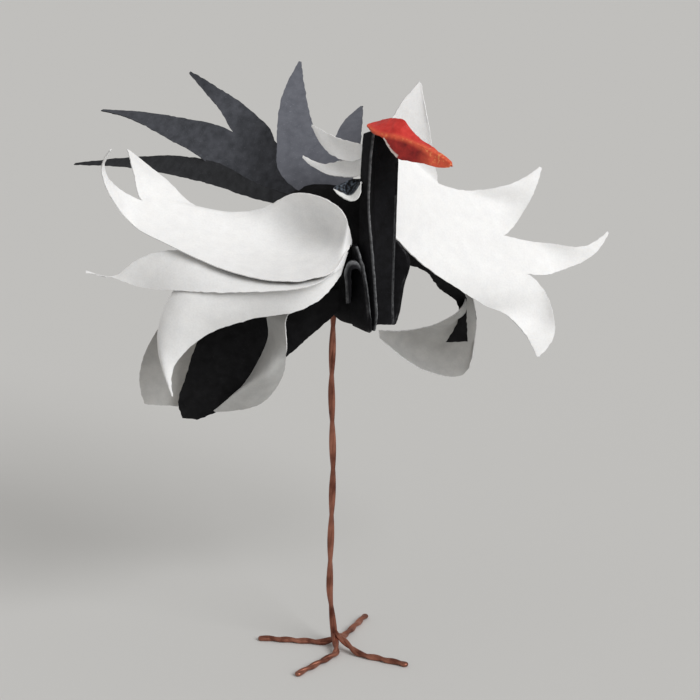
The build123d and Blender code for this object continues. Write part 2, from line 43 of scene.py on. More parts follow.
# The paper's thickness, and the width of a strip where it ends in a point
PAPER = 0.16
TIP_WIDTH = 0.4
# How far the cut sides of two feathers ease apart just past the slit between them
SLIT_OPENING_SHARE = 0.15
# The bird's heading, towards the viewer from +X, and the height of its underside over the floor
HEADING = math.radians(45)
CLEARANCE = 56.6

# Waves of the paper: the size of the long and short ones, and the short ones' share of the height
LONG_WAVE, SHORT_WAVE, SHORT_WAVE_SHARE = 6.0, 2.2, 0.45
WAVE_HEIGHT = 0.1
# Waves of the torn edges: their size and depth
TORN_WAVE, TORN_DEPTH = 0.7, 0.13
# Seeds of the waves: the first strip's, fan's and pleat's, and the body's
STRIP_SEED, FAN_SEED, PLEAT_SEED, BODY_SEED = 1, 31, 61, 71
# Faces that meet at more than this angle show a sharp edge
SHARP_ANGLE = math.radians(50)

# Each group of strips: where it leaves the body, and the reach, depth and rise of its shares
GROUPS = {
    "near": ((2.8, -4.5, 66.5), (-40, 12, 24)),
    "far": ((8.6, -4.5, 72.0), (37, 24, 20)),
    "tail": ((0.0, 3.0, 75.0), (-44, 30, 20)),
    "plume": ((4.9, -7.6, 83.5), (-9, 9, 4)),
}
# The first row of a strip or palm is its root, whose shares are of this span in place of the reach
ROOT_SPAN = 10.0

# Rows of points across each strip, from its root to its tip, as shares of its group's sizes.
# A last row of one point is a pointed tip. A palm is followed by its feathers, from the first side
# of the palm to the last.
NEAR_MIDDLE_SHARES = [
    [(0.14, 0.09, 0.1), (0.155, 0.07, -0.025)],
    [(0.02, -0.415, 0.115), (0.04, -0.54, 0.035)],
    [(0.13, -0.72, 0), (0.14, -0.925, -0.025)],
    [(0.41, -0.66, 0.02), (0.415, -0.79, 0), (0.42, -0.925, -0.075)],
    [(0.63, -0.53, 0.15), (0.64, -0.675, 0.025), (0.655, -0.75, -0.085)],
    [(0.825, -0.415, 0.07), (0.825, -0.46, -0.09)],
    [(0.905, -0.36, -0.035), (0.905, -0.375, -0.055)],
    [(1.02, -0.29, -0.02)],
]
NEAR_LOWER_SHARES = [
    [(0.145, 0.09, 0.005), (0.17, 0.07, -0.15)],
    [(0.03, -0.375, 0.055), (0.05, -0.475, -0.045)],
    [(0.07, -0.585, 0.04), (0.095, -0.65, -0.12)],
    [(0.175, -0.8, -0.03), (0.18, -0.735, -0.205)],
    [(0.4, -0.84, -0.06), (0.385, -0.835, -0.155), (0.38, -0.75, -0.27)],
    [(0.645, -0.665, -0.05), (0.61, -0.835, -0.215), (0.565, -0.75, -0.39)],
    [(0.74, -0.71, -0.42), (0.715, -0.81, -0.51), (0.68, -0.79, -0.59)],
    [(0.685, -0.875, -0.765)],
]
NEAR_SPIKE_SHARES = [
    [(0.01, 0.12, -0.42), (0.19, 0.19, -0.81)],
    [(0.35, 0.125, -0.26), (0.2, 0.125, -0.565)],
    [(0.58, 0.21, -0.475), (0.355, 0.125, -0.795)],
    [(0.66, 0.21, -0.805), (0.47, 0.125, -0.945)],
    [(0.69, 0.21, -0.99), (0.54, 0.165, -1.04)],
    [(0.675, 0.21, -1.085), (0.615, 0.21, -1.095)],
]
NEAR_OUTER_CURL_SHARES = [
    [(0.01, 0.27, -0.36), (0.16, 0.27, -0.71)],
    [(0.4, 0.46, -0.235), (0.345, 0.46, -0.51)],
    [(0.665, 0.54, -0.35), (0.545, 0.54, -0.66)],
    [(0.805, 0.46, -0.595), (0.645, 0.46, -0.805)],
    [(0.85, 0.375, -0.845), (0.67, 0.375, -0.93)],
    [(0.83, 0.335, -1.01), (0.695, 0.335, -1.025)],
]
NEAR_INNER_CURL_SHARES = [
    [(0.53, 0.45, -0.35), (0.58, 0.47, -0.52)],
    [(0.195, -0.21, -0.165), (0.175, -0.21, -0.245)],
    [(0.315, -0.165, -0.255), (0.28, -0.29, -0.275), (0.245, -0.415, -0.295)],
    [(0.325, -0.04, -0.505), (0.28, -0.335, -0.5), (0.25, -0.415, -0.535)],
    [(0.39, 0, -0.735), (0.325, -0.375, -0.68), (0.275, -0.125, -0.765)],
    [(0.465, -0.04, -0.895), (0.435, -0.21, -0.845), (0.37, -0.04, -0.955)],
    [(0.54, -0.04, -1)],
]
FAR_SPIKE_SHARES = [
    [(0.01, -0.01, -0.27), (0.03, -0.01, -0.19)],
    [(0.075, 0.31, -0.355), (0.1, 0.31, -0.255)],
    [(0.175, 0.5, -0.49), (0.205, 0.5, -0.44)],
    [(0.235, 0.66, -0.67), (0.29, 0.66, -0.64)],
    [(0.32, 0.77, -0.835), (0.36, 0.77, -0.785)],
    [(0.33, 0.81, -0.97), (0.365, 0.81, -0.96)],
    [(0.275, 0.875, -1.21), (0.375, 0.875, -1.2)],
]
FAR_CURL_SHARES = [
    [(0, 0, -0.08), (0.01, -0.01, -0.15)],
    [(0.19, 0.645, -0.265), (0.185, 0.605, -0.435)],
    [(0.36, 0.855, -0.715), (0.385, 0.855, -0.765)],
    [(0.335, 0.71, -0.865), (0.4, 0.96, -1.06), (0.415, 1.02, -1.19)],
    [(0.25, 0.81, -1.01), (0.33, 1.02, -1.28), (0.375, 1.02, -1.52)],
    [(0.11, 0.895, -1.11), (0.135, 0.98, -1.31), (0.19, 0.895, -1.47)],
    [(-0.03, 0.81, -1.08), (-0.025, 0.81, -1.15)],
]
TAIL_LOW_SHARES = [
    [(0.07, 0.11, -0.1), (0.1, 0.09, -0.25)],
    [(0.26, 0.185, 0.06), (0.28, 0.185, -0.05)],
    [(0.445, 0.465, 0.175), (0.475, 0.435, 0.005)],
    [(0.585, 0.635, 0.175), (0.62, 0.6, 0.03)],
    [(0.765, 0.815, 0.115), (0.795, 0.8, 0.03)],
    [(1.02, 1.03, -0.005)],
]
TAIL_TALL_SHARES = [
    [(0.24, 0, -0.06), (-0.08, -0.18, 0.07)],
    [(0.165, 0.085, 0.12), (-0.07, 0, 0.16)],
    [(0.205, 0.215, 0.405), (0.05, 0.2, 0.425)],
    [(0.185, 0.415, 0.755), (0.1, 0.4, 0.725)],
    [(0.125, 0.565, 0.975)],
]
TAIL_FAR_SHARES = [
    [(-0.03, -0.12, -0.02), (-0.16, -0.21, 0.05)],
    [(0.01, 0.265, 0.22), (-0.09, 0.235, 0.255)],
    [(-0.025, 0.535, 0.445), (-0.105, 0.5, 0.47)],
    [(-0.105, 0.735, 0.57)],
]
PLUME_HIGH_SHARES = [
    [(-0.02, 0, 0.23), (-0.01, 0, 0.04)],
    [(0.32, 0.34, 0.6), (0.36, 0.4, 0.2), (0.34, 0.28, -0.16)],
    [(0.6, 0.62, 0.74), (0.62, 0.58, 0.06)],
    [(0.9, 0.9, 0.96)],
]
PLUME_LOW_SHARES = [
    [(-0.02, 0, 0.03), (-0.01, 0, -0.25)],
    [(0.36, 0.34, -0.2), (0.36, 0.4, -0.5), (0.36, 0.28, -0.8)],
    [(0.72, 0.62, -0.42), (0.74, 0.58, -0.72)],
    [(1.06, 0.84, -0.24)],
]
PLUME_CUP_SHARES = [
    [(0.06, -0.06, -0.32), (-0.02, 0, -0.38)],
    [(0.08, -0.2, -1.24), (0.14, 0.04, -1.04), (0, 0.18, -0.86)],
    [(0.24, -0.22, -1.48), (0.28, 0.12, -1.22), (0.2, 0.22, -0.84)],
    [(0.4, -0.12, -1.36), (0.32, 0.18, -0.94)],
    [(0.52, 0.04, -1.12)],
]
NEAR_WING_PALM_SHARES = [
    [(0.075, 0.03, 0.26), (0.085, 0.03, 0.195), (0.09, 0.03, 0.13)],
    [(0, -0.335, 0.22), (0.005, -0.375, 0.175), (0.015, -0.5, 0.145)],
    [(0.015, -0.54, 0.35), (0.025, -0.475, 0.175), (0.055, -0.75, 0.06)],
    [(0.07, -0.375, 0.44), (0.095, -0.15, 0.19), (0.155, -0.915, 0.01)],
    [(0.205, -0.04, 0.47), (0.24, 0.11, 0.18), (0.255, -0.96, 0.005)],
    [(0.345, 0.21, 0.345), (0.42, 0.075, 0.175), (0.395, -0.875, 0.025)],
    [(0.595, 0.375, 0.335), (0.805, -0.04, 0.42), (0.805, -0.46, 0.27)],
]
NEAR_WING_FEATHERS_SHARES = [
    [
        [(0.73, 0.5, 0.51), (0.84, 0.125, 0.59)],
        [(0.875, 0.625, 0.69)],
    ],
    [
        [(0.895, -0.29, 0.54), (0.895, -0.54, 0.46)],
        [(0.925, -0.625, 0.705), (0.935, -0.665, 0.695)],
        [(0.89, -0.875, 0.83)],
    ],
]
FAR_WING_PALM_SHARES = [
    [(-0.04, 0.03, 0.26), (-0.02, 0.02, 0.19), (0, 0.01, 0.11), (0.01, 0, 0.03), (0.03, -0.01, -0.04)],
    [(-0.02, 0.27, 0.44), (0.105, 0.395, 0.21), (0.185, 0.395, -0.095),
     (0.185, 0.31, -0.24), (0.16, 0.19, -0.35)],
    [(0.005, 0.48, 0.755), (0.225, 0.645, 0.205), (0.52, 0.73, -0.25),
     (0.62, 0.645, -0.55), (0.445, 0.48, -0.775)],
]
FAR_WING_FEATHERS_SHARES = [
    [
        [(0.065, 0.52, 0.9), (0.135, 0.56, 0.745), (0.185, 0.56, 0.635)],
        [(0.14, 0.56, 1.04)],
    ],
    [
        [(0.385, 0.81, 0.105), (0.51, 0.875, -0.015), (0.615, 0.855, -0.075)],
        [(0.56, 0.895, 0.145), (0.665, 0.915, 0.08)],
        [(0.695, 1.02, 0.25)],
    ],
    [
        [(0.74, 0.895, -0.365), (0.765, 0.91, -0.49), (0.785, 0.855, -0.585)],
        [(0.915, 0.98, -0.4), (0.945, 0.96, -0.47)],
        [(1.01, 1.06, -0.315)],
    ],
    [
        [(0.74, 0.605, -0.865), (0.665, 0.605, -0.925), (0.575, 0.52, -0.935)],
        [(0.74, 0.52, -1.05), (0.63, 0.48, -1.055)],
        [(0.67, 0.44, -1.185)],
    ],
]
TAIL_FAN_PALM_SHARES = [
    [(0.11, 0.06, -0.14), (0.15, 0.06, -0.2), (0.18, 0.06, -0.27)],
    [(0.12, 0.2, 0.055), (0.15, 0.235, -0.015), (0.18, 0.2, -0.07)],
    [(0.2, 0.4, 0.285), (0.265, 0.435, 0.2), (0.33, 0.365, 0.02)],
    [(0.24, 0.5, 0.45), (0.38, 0.565, 0.395), (0.48, 0.5, 0.165)],
]
TAIL_FAN_FEATHERS_SHARES = [
    [
        [(0.34, 0.635, 0.605), (0.43, 0.635, 0.565)],
        [(0.455, 0.735, 0.745), (0.485, 0.735, 0.675)],
        [(0.55, 0.835, 0.83)],
    ],
    [
        [(0.555, 0.7, 0.47), (0.635, 0.665, 0.32)],
        [(0.725, 0.835, 0.49), (0.77, 0.8, 0.435)],
        [(0.9, 0.965, 0.48)],
    ],
]


def bernstein(degree, places):
    """Bernstein weights of a degree, one row for each place from 0 to 1."""
    return np.array([[math.comb(degree, k) * t**k * (1 - t) ** (degree - k)
                      for k in range(degree + 1)] for t in places])


def net_across(line):
    """Control points of the Bezier curve that passes through a row of points."""
    return np.linalg.inv(bernstein(len(line) - 1, np.linspace(0, 1, len(line)))) @ line


def spans_through(rows, start_slope=None, opening=0.0):
    """Cubic control nets, one from each row of a strip to the next."""
    steps = [np.linalg.norm((after - before).mean(axis=0)) for before, after in zip(rows, rows[1:])]
    chords = [(after - before) / step for before, after, step in zip(rows, rows[1:], steps)]
    inner = [(chords[k] * steps[k + 1] + chords[k + 1] * steps[k]) / (steps[k] + steps[k + 1])
             for k in range(len(chords) - 1)]
    first = (3 * chords[0] - inner[0]) / 2 if inner else chords[0]
    last = (3 * chords[-1] - inner[-1]) / 2 if inner else chords[-1]
    slopes = [first if start_slope is None else start_slope, *inner, last]
    nets = []
    for k, step in enumerate(steps):
        second = rows[k] + slopes[k] * step / 3
        third = rows[k + 1] - slopes[k + 1] * step / 3
        if k == 0:
            second = second + (second.mean(axis=0) - second) * opening
        nets.append(np.array([rows[k], second, third, rows[k + 1]]))
    return nets


def along_nets(nets, steps):
    """Points down a run of spans, each row of points kept as it is across."""
    lines = []
    for k, net in enumerate(nets):
        places = np.linspace(0, 1, steps + 1)[(0 if k == 0 else 1):]
        lines.append(np.einsum("ui,ijk->ujk", bernstein(3, places), net))
    return np.concatenate(lines)


def placed_rows(group, rows_shares, has_root):
    """Rows of points in space, the root row over the root span."""
    origin, sizes = (np.array(value, float) for value in GROUPS[group])
    placed = [origin + sizes * np.array(row) for row in rows_shares]
    if has_root:
        placed[0] = origin + np.sign(sizes) * ROOT_SPAN * np.array(rows_shares[0])
    tip, edge = placed[-1], placed[-2][-1] - placed[-2][0]
    if len(tip) == 1:
        edge = edge / np.linalg.norm(edge) * TIP_WIDTH / 2
        placed[-1] = np.array([tip[0] - edge, tip[0] + edge])
    return placed


def fine_rows(rows, across):
    """Each row as evenly placed points on the curve through its own few."""
    places = np.linspace(0, 1, across + 1)
    return [bernstein(len(row) - 1, places) @ net_across(row) for row in rows]


class Grid:
    """Points and faces of a sheet of paper before it gets its thickness."""

    def __init__(self):
        self.points, self.faces, self.across = [], [], []

    def add(self, points, first_row=None, side=0.0):
        """Adds a grid of points and gives the numbers of its last row.

        Its first row may be points that are there already.
        """
        rows, columns = points.shape[:2]
        numbers = []
        for i in range(rows):
            if i == 0 and first_row is not None:
                numbers.append(list(first_row))
                continue
            numbers.append(list(range(len(self.points), len(self.points) + columns)))
            for j in range(columns):
                self.points.append(points[i, j])
                self.across.append(side + j / (columns - 1))
        for i in range(rows - 1):
            for j in range(columns - 1):
                self.faces.append((numbers[i][j], numbers[i][j + 1],
                                   numbers[i + 1][j + 1], numbers[i + 1][j]))
        return numbers[-1]


def strip_grid(group, rows_shares, along=18, across=16):
    """A curled strip from its root to its tip."""
    grid = Grid()
    rows = fine_rows(placed_rows(group, rows_shares, True), across)
    grid.add(along_nets(spans_through(rows), along))
    return grid


def fan_grid(group, palm_shares, feathers_shares, along=16, across=14):
    """A palm of paper that slits divide into feathers past its last row."""
    columns = across * len(feathers_shares)
    origin, sizes = (np.array(value, float) for value in GROUPS[group])
    rows = [origin + sizes * np.array(row) for row in palm_shares]
    rows[0] = origin + np.sign(sizes) * ROOT_SPAN * np.array(palm_shares[0])
    palm = spans_through(fine_rows(rows, columns))
    grid = Grid()
    last = grid.add(along_nets(palm, along))
    slope = (palm[-1][3] - palm[-1][2]) * 3
    slope = slope / np.linalg.norm((palm[-1][3] - palm[-1][0]).mean(axis=0))
    for k, feather_shares in enumerate(feathers_shares):
        part = slice(k * across, (k + 1) * across + 1)
        base = palm[-1][3][part]
        others = fine_rows(placed_rows(group, feather_shares, False), across)
        nets = spans_through([base, *others], slope[part], SLIT_OPENING_SHARE)
        grid.add(along_nets(nets, along), last[part], k)
    return grid


def ripple(point, size, seed):
    """Smooth noise from -1 to 1 at a point, its waves about that size in millimetres."""
    return noise.noise(Vector(point) / size + Vector((seed, 1.7 * seed, 0)))


def sheet_piece(name, grid, looks, facing, seed, thickness=PAPER, wave=WAVE_HEIGHT):
    """A closed sheet of paper. looks are the materials of its near side, far side and cut edges."""
    mesh = bpy.data.meshes.new(name)
    mesh.from_pydata([tuple(p) for p in grid.points], [], grid.faces)
    mesh.update()
    normal = sum((Vector(p.normal) * p.area for p in mesh.polygons), Vector())
    if normal.dot(Vector(facing)) < 0:
        mesh.flip_normals()
        mesh.update()
    normals = [v.normal.copy() for v in mesh.vertices]
    for vertex, n in zip(mesh.vertices, normals):
        point = vertex.co.copy()
        lift = wave * (ripple(point, LONG_WAVE, seed)
                       + SHORT_WAVE_SHARE * ripple(point, SHORT_WAVE, seed + 3))
        torn = Vector([ripple(point, TORN_WAVE, seed + turn) for turn in (5, 9, 13)]) * TORN_DEPTH
        torn -= n * torn.dot(n)
        vertex.co = (point + n * lift + torn) * MM
    mesh.attributes.new("across", "FLOAT", "POINT").data.foreach_set("value", grid.across)
    piece = new_piece(name, mesh, looks)
    solid = piece.modifiers.new("thickness", "SOLIDIFY")
    solid.thickness = thickness * MM
    solid.offset = 0
    solid.use_quality_normals = True
    solid.material_offset, solid.material_offset_rim = 1, 2
    apply_modifiers(piece)
    return piece


def new_piece(name, mesh, looks):
    """An object with a mesh and its materials, in the scene."""
    for look in looks:
        mesh.materials.append(look)
    piece = bpy.data.objects.new(name, mesh)
    bpy.context.scene.collection.objects.link(piece)
    return piece


def apply_modifiers(piece):
    """Puts a piece's modifiers into its mesh, with smooth faces and sharp paper edges."""
    graph = bpy.context.evaluated_depsgraph_get()
    mesh = bpy.data.meshes.new_from_object(piece.evaluated_get(graph))
    piece.modifiers.clear()
    old = piece.data
    piece.data = mesh
    bpy.data.meshes.remove(old)
    mesh.name = piece.name
    mesh.shade_smooth()
    mesh.set_sharp_from_angle(angle=SHARP_ANGLE)


def finish_piece(piece, node):
    """Rides the one body and replaces its solid."""
    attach(piece, "root")
    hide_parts(node)


def new_material(name, **values):
    """A material with a Principled shader, its nodes, links and shader."""
    look = bpy.data.materials.new(name)
    look.use_nodes = True
    shader = look.node_tree.nodes["Principled BSDF"]
    for socket, value in values.items():
        shader.inputs[socket.replace("_", " ")].default_value = value
    return look, look.node_tree.nodes, look.node_tree.links, shader


def noise_at(nodes, links, size, detail=3.0, stretch=(1, 1, 1)):
    """A noise texture whose features are about that size in millimetres."""
    place = nodes.new("ShaderNodeTexCoord")
    mapping = nodes.new("ShaderNodeMapping")
    mapping.inputs["Scale"].default_value = [value / (size * MM) for value in stretch]
    links.new(place.outputs["Object"], mapping.inputs["Vector"])
    texture = nodes.new("ShaderNodeTexNoise")
    texture.inputs["Scale"].default_value = 1.0
    texture.inputs["Detail"].default_value = detail
    links.new(mapping.outputs["Vector"], texture.inputs["Vector"])
    return texture.outputs["Fac"]


def ramp(nodes, links, factor, stops):
    """A colour ramp of (place, colour) stops on a factor."""
    node = nodes.new("ShaderNodeValToRGB")
    while len(node.color_ramp.elements) < len(stops):
        node.color_ramp.elements.new(1.0)
    for element, (place, colour) in zip(node.color_ramp.elements, stops):
        element.position = place
        element.color = (*colour, 1.0) if isinstance(colour, tuple) else (colour, colour, colour, 1.0)
    links.new(factor, node.inputs["Fac"])
    return node.outputs["Color"]


def mix(nodes, links, factor, first, second, kind="MIX"):
    """A mix of two colours, each a socket or a plain colour."""
    node = nodes.new("ShaderNodeMix")
    node.data_type = "RGBA"
    node.blend_type = kind
    for name, value in (("Factor", factor), ("A", first), ("B", second)):
        socket = [s for s in node.inputs if s.name == name and s.enabled and
                  s.type == ("VALUE" if name == "Factor" else "RGBA")][0]
        if isinstance(value, bpy.types.NodeSocket):
            links.new(value, socket)
        else:
            socket.default_value = (*value, 1.0) if isinstance(value, tuple) else value
    return [s for s in node.outputs if s.type == "RGBA"][0]


def add_bump(nodes, links, shader, layers):
    """Bump from (height, depth in millimetres) layers, one on top of the other."""
    normal = None
    for height, depth in layers:
        node = nodes.new("ShaderNodeBump")
        node.inputs["Strength"].default_value = 1.0
        node.inputs["Distance"].default_value = depth * MM
        links.new(height, node.inputs["Height"])
        if normal is not None:
            links.new(normal, node.inputs["Normal"])
        normal = node.outputs["Normal"]
    links.new(normal, shader.inputs["Normal"])


def attribute(nodes, name):
    """A value that a mesh carries at its points."""
    node = nodes.new("ShaderNodeAttribute")
    node.attribute_name = name
    return node.outputs["Fac"]


def make_white_paper(name, dark, light):
    """The sheet's white inside, soft and a little fibrous."""
    look, nodes, links, shader = new_material(name, Roughness=0.85, Specular_IOR_Level=0.2)
    mottle = noise_at(nodes, links, 1.8, 4.0)
    fibre = noise_at(nodes, links, 0.28, 2.0)
    base = ramp(nodes, links, mottle, [(0.3, dark), (0.7, light)])
    grain = ramp(nodes, links, fibre, [(0.3, 0.95), (0.65, 1.0)])
    links.new(mix(nodes, links, 1.0, base, grain, "MULTIPLY"), shader.inputs["Base Color"])
    shader.inputs["Subsurface Weight"].default_value = 0.25
    shader.inputs["Subsurface Radius"].default_value = (1.0, 0.9, 0.8)
    shader.inputs["Subsurface Scale"].default_value = 0.6 * MM
    add_bump(nodes, links, shader, [(fibre, 0.015), (mottle, 0.04)])
    return look


def make_black_paper(name, dark, light, wear_and_highlight=0.0):
    """The sheet's black outside, dusty, and grey along its folds as wear and painted highlight."""
    wear_and_highlight_grey = (0.50, 0.51, 0.53)
    look, nodes, links, shader = new_material(name, Roughness=0.68, Specular_IOR_Level=0.1)
    mottle = noise_at(nodes, links, 1.3, 4.0)
    fibre = noise_at(nodes, links, 0.22, 2.0)
    base = ramp(nodes, links, mottle, [(0.3, dark), (0.72, light)])
    specks = ramp(nodes, links, fibre, [(0.62, 0.0), (0.78, 0.35)])
    dusty = tuple(min(1.0, value * 2.2 + 0.01) for value in light)
    colour = mix(nodes, links, specks, base, dusty)
    if wear_and_highlight:
        # Grey along the ridges: wear, and painted highlight
        rubbed_and_highlit = ramp(nodes, links, attribute(nodes, "wear_and_highlight"), [(0.25, 0.0), (1.0, wear_and_highlight)])
        patchy = ramp(nodes, links, noise_at(nodes, links, 0.5, 3.0), [(0.3, 0.35), (0.62, 1.0)])
        share = mix(nodes, links, 1.0, rubbed_and_highlit, patchy, "MULTIPLY")
        colour = mix(nodes, links, share, colour, wear_and_highlight_grey)
    links.new(colour, shader.inputs["Base Color"])
    add_bump(nodes, links, shader, [(fibre, 0.025), (mottle, 0.05)])
    return look


def make_cup_paper():
    """Black paper whose rim has turned over and shows white."""
    rim_white = (0.84, 0.85, 0.84)
    look, nodes, links, shader = new_material("paper_cup", Roughness=0.6, Specular_IOR_Level=0.3)
    speckle = noise_at(nodes, links, 0.45, 3.0)
    base = ramp(nodes, links, speckle, [(0.45, (0.006, 0.006, 0.008)), (0.7, (0.12, 0.15, 0.19))])
    rim = ramp(nodes, links, attribute(nodes, "across"), [(0.2, 1.0), (0.26, 0.0)])
    links.new(mix(nodes, links, rim, base, rim_white), shader.inputs["Base Color"])
    add_bump(nodes, links, shader, [(speckle, 0.12)])
    return look


def make_edge_paper():
    """The torn white core of the paper at its cut edges."""
    look, nodes, links, shader = new_material("paper_edge", Roughness=0.9)
    fibre = noise_at(nodes, links, 0.2, 2.0)
    links.new(ramp(nodes, links, fibre, [(0.35, 0.62), (0.65, 0.86)]), shader.inputs["Base Color"])
    return look


def make_red_paper():
    """The head's red paper, orange where its fold and beak are rubbed, with painted highlight in the
    fold's orange, darker on the side under the fold as painted shade, pale at its torn edge.
    """
    orange, pale_orange, torn_white = (0.68, 0.10, 0.045), (0.80, 0.27, 0.10), (0.62, 0.56, 0.52)
    look, nodes, links, shader = new_material("paper_red", Roughness=0.5, Specular_IOR_Level=0.35)
    mottle = noise_at(nodes, links, 0.9, 4.0)
    fibre = noise_at(nodes, links, 0.4, 3.0)
    wear_and_highlight = attribute(nodes, "wear_and_highlight")
    top = ramp(nodes, links, mottle, [(0.3, (0.50, 0.022, 0.018)), (0.7, (0.66, 0.045, 0.035))])
    # The side under the fold: the same red, painted darker as shade
    side = ramp(nodes, links, mottle, [(0.3, (0.17, 0.007, 0.007)), (0.7, (0.33, 0.018, 0.014))])
    base = mix(nodes, links, attribute(nodes, "side"), top, side)
    # Orange where rubbed; along the fold it is also painted highlight
    rubbed_and_highlit = mix(nodes, links, ramp(nodes, links, wear_and_highlight, [(0.15, 0.0), (0.75, 0.85)]), base, orange)
    flecks = mix(nodes, links, 1.0, ramp(nodes, links, fibre, [(0.54, 0.0), (0.66, 1.0)]),
                 ramp(nodes, links, wear_and_highlight, [(0.4, 0.0), (0.95, 0.8)]), "MULTIPLY")
    colour = mix(nodes, links, flecks, rubbed_and_highlit, pale_orange)
    links.new(mix(nodes, links, attribute(nodes, "torn"), colour, torn_white),
              shader.inputs["Base Color"])
    add_bump(nodes, links, shader, [(fibre, 0.04), (mottle, 0.12)])
    return look


def make_copper():
    """Dull copper wire, darker where it has tarnished."""
    look, nodes, links, shader = new_material("copper", Metallic=0.9, Roughness=0.42)
    tarnish = noise_at(nodes, links, 2.6, 3.0, (1, 1, 0.6))
    fine = noise_at(nodes, links, 0.35, 2.0)
    base = ramp(nodes, links, tarnish, [(0.35, (0.13, 0.042, 0.028)), (0.65, (0.44, 0.185, 0.125))])
    links.new(base, shader.inputs["Base Color"])
    links.new(ramp(nodes, links, tarnish, [(0.3, 0.5), (0.7, 0.34)]), shader.inputs["Roughness"])
    add_bump(nodes, links, shader, [(fine, 0.008)])
    return look


WHITE = make_white_paper("paper_white", (0.80, 0.80, 0.80), (0.85, 0.85, 0.845))
# The curls under the wings: white paper painted dimmer as the shade that they hang in
WHITE_PAINTED_SHADE = make_white_paper("paper_white_painted_shade", (0.41, 0.41, 0.405), (0.47, 0.47, 0.46))
BLACK = make_black_paper("paper_black", (0.004, 0.004, 0.0045), (0.010, 0.010, 0.011))
# The pleats' black paper, grey along its ridges as wear and painted highlight
BLACK_WORN_AND_HIGHLIT = make_black_paper("paper_black_worn_and_highlit", (0.004, 0.004, 0.0045), (0.010, 0.010, 0.012), 0.7)
CUP_BLACK = make_cup_paper()
# The tail's black paper, painted grey for the light that falls on it: the same black paper in copies
# from dim to bright, for how brightly each tail strip is lit
TAIL_BLACK_PAINTED_DIM = make_black_paper("paper_tail_black_painted_dim", (0.028, 0.029, 0.032), (0.046, 0.048, 0.053))
TAIL_BLACK_PAINTED_LIT = make_black_paper("paper_tail_black_painted_lit", (0.048, 0.051, 0.059), (0.082, 0.086, 0.100))
TAIL_BLACK_PAINTED_BRIGHT = make_black_paper("paper_tail_black_painted_bright", (0.105, 0.110, 0.130), (0.140, 0.146, 0.170))
EDGE = make_edge_paper()
RED = make_red_paper()
COPPER = make_copper()
# The way that the near sides of strips and palms face
NEAR_SIDE = (0.0, -1.0, 0.25)

# What the cut edges show, for the paper of the near side
EDGES = {WHITE: EDGE, WHITE_PAINTED_SHADE: EDGE, TAIL_BLACK_PAINTED_DIM: BLACK, TAIL_BLACK_PAINTED_LIT: BLACK, TAIL_BLACK_PAINTED_BRIGHT: BLACK}

# Each strip: its group, its rows, and the papers that its near and far sides show
STRIPS = {
    "near_middle": ("near", NEAR_MIDDLE_SHARES, WHITE, BLACK),
    "near_lower": ("near", NEAR_LOWER_SHARES, WHITE, BLACK),
    "near_spike": ("near", NEAR_SPIKE_SHARES, BLACK, WHITE),
    "near_outer_curl": ("near", NEAR_OUTER_CURL_SHARES, WHITE_PAINTED_SHADE, BLACK),
    "near_inner_curl": ("near", NEAR_INNER_CURL_SHARES, WHITE_PAINTED_SHADE, BLACK),
    "far_spike": ("far", FAR_SPIKE_SHARES, BLACK, WHITE),
    "far_curl": ("far", FAR_CURL_SHARES, WHITE_PAINTED_SHADE, BLACK),
    "tail_low": ("tail", TAIL_LOW_SHARES, TAIL_BLACK_PAINTED_DIM, WHITE),
    "tail_tall": ("tail", TAIL_TALL_SHARES, TAIL_BLACK_PAINTED_BRIGHT, WHITE),
    "tail_far": ("tail", TAIL_FAR_SHARES, TAIL_BLACK_PAINTED_BRIGHT, WHITE),
    "plume_high": ("plume", PLUME_HIGH_SHARES, WHITE, BLACK),
    "plume_low": ("plume", PLUME_LOW_SHARES, WHITE, BLACK),
    "plume_cup": ("plume", PLUME_CUP_SHARES, CUP_BLACK, WHITE),
}
# Waves of the strips whose paper is more crumpled than the rest, in millimetres
CRUMPLED_STRIPS = {"plume_low": 0.32, "plume_high": 0.16}
for number, (name, (group, rows_shares, near, far)) in enumerate(STRIPS.items()):
    looks = (near, far, EDGES.get(near, near))
    piece = sheet_piece(name, strip_grid(group, rows_shares), looks, NEAR_SIDE,
                        number + STRIP_SEED, wave=CRUMPLED_STRIPS.get(name, WAVE_HEIGHT))
    finish_piece(piece, "folded_sheet")

FANS = {
    "near_wing": ("near", NEAR_WING_PALM_SHARES, NEAR_WING_FEATHERS_SHARES, WHITE, BLACK),
    "far_wing": ("far", FAR_WING_PALM_SHARES, FAR_WING_FEATHERS_SHARES, WHITE, BLACK),
    "tail_fan": ("tail", TAIL_FAN_PALM_SHARES, TAIL_FAN_FEATHERS_SHARES, TAIL_BLACK_PAINTED_LIT, WHITE),
}
for number, (name, (group, palm_shares, feathers_shares, near, far)) in enumerate(FANS.items()):
    looks = (near, far, EDGES.get(near, near))
    piece = sheet_piece(name, fan_grid(group, palm_shares, feathers_shares), looks, NEAR_SIDE,
                        number + FAN_SEED)
    finish_piece(piece, "folded_sheet")


def body_point(forward, side, height):
    """A point forward along the bird's heading, to its far side, and up from the underside."""
    return np.array([forward * math.cos(HEADING) + side * math.sin(HEADING),
                     side * math.cos(HEADING) - forward * math.sin(HEADING), CLEARANCE + height])


def place_forward(spot):
    """How far forward along the bird's heading a point in space lies."""
    return spot[0] * math.cos(HEADING) - spot[1] * math.sin(HEADING)


def smooth_line(line, fine):
    """A rounded line through points, by cubic pieces with gentle slopes."""
    slopes = np.gradient(line, axis=0)
    out = []
    for place in fine:
        k = min(int(place), len(line) - 2)
        t = place - k
        out.append((1 + 2 * t) * (1 - t) ** 2 * line[k] + t * (1 - t) ** 2 * slopes[k]
                   + t * t * (3 - 2 * t) * line[k + 1] + t * t * (t - 1) * slopes[k + 1])
    return np.array(out)


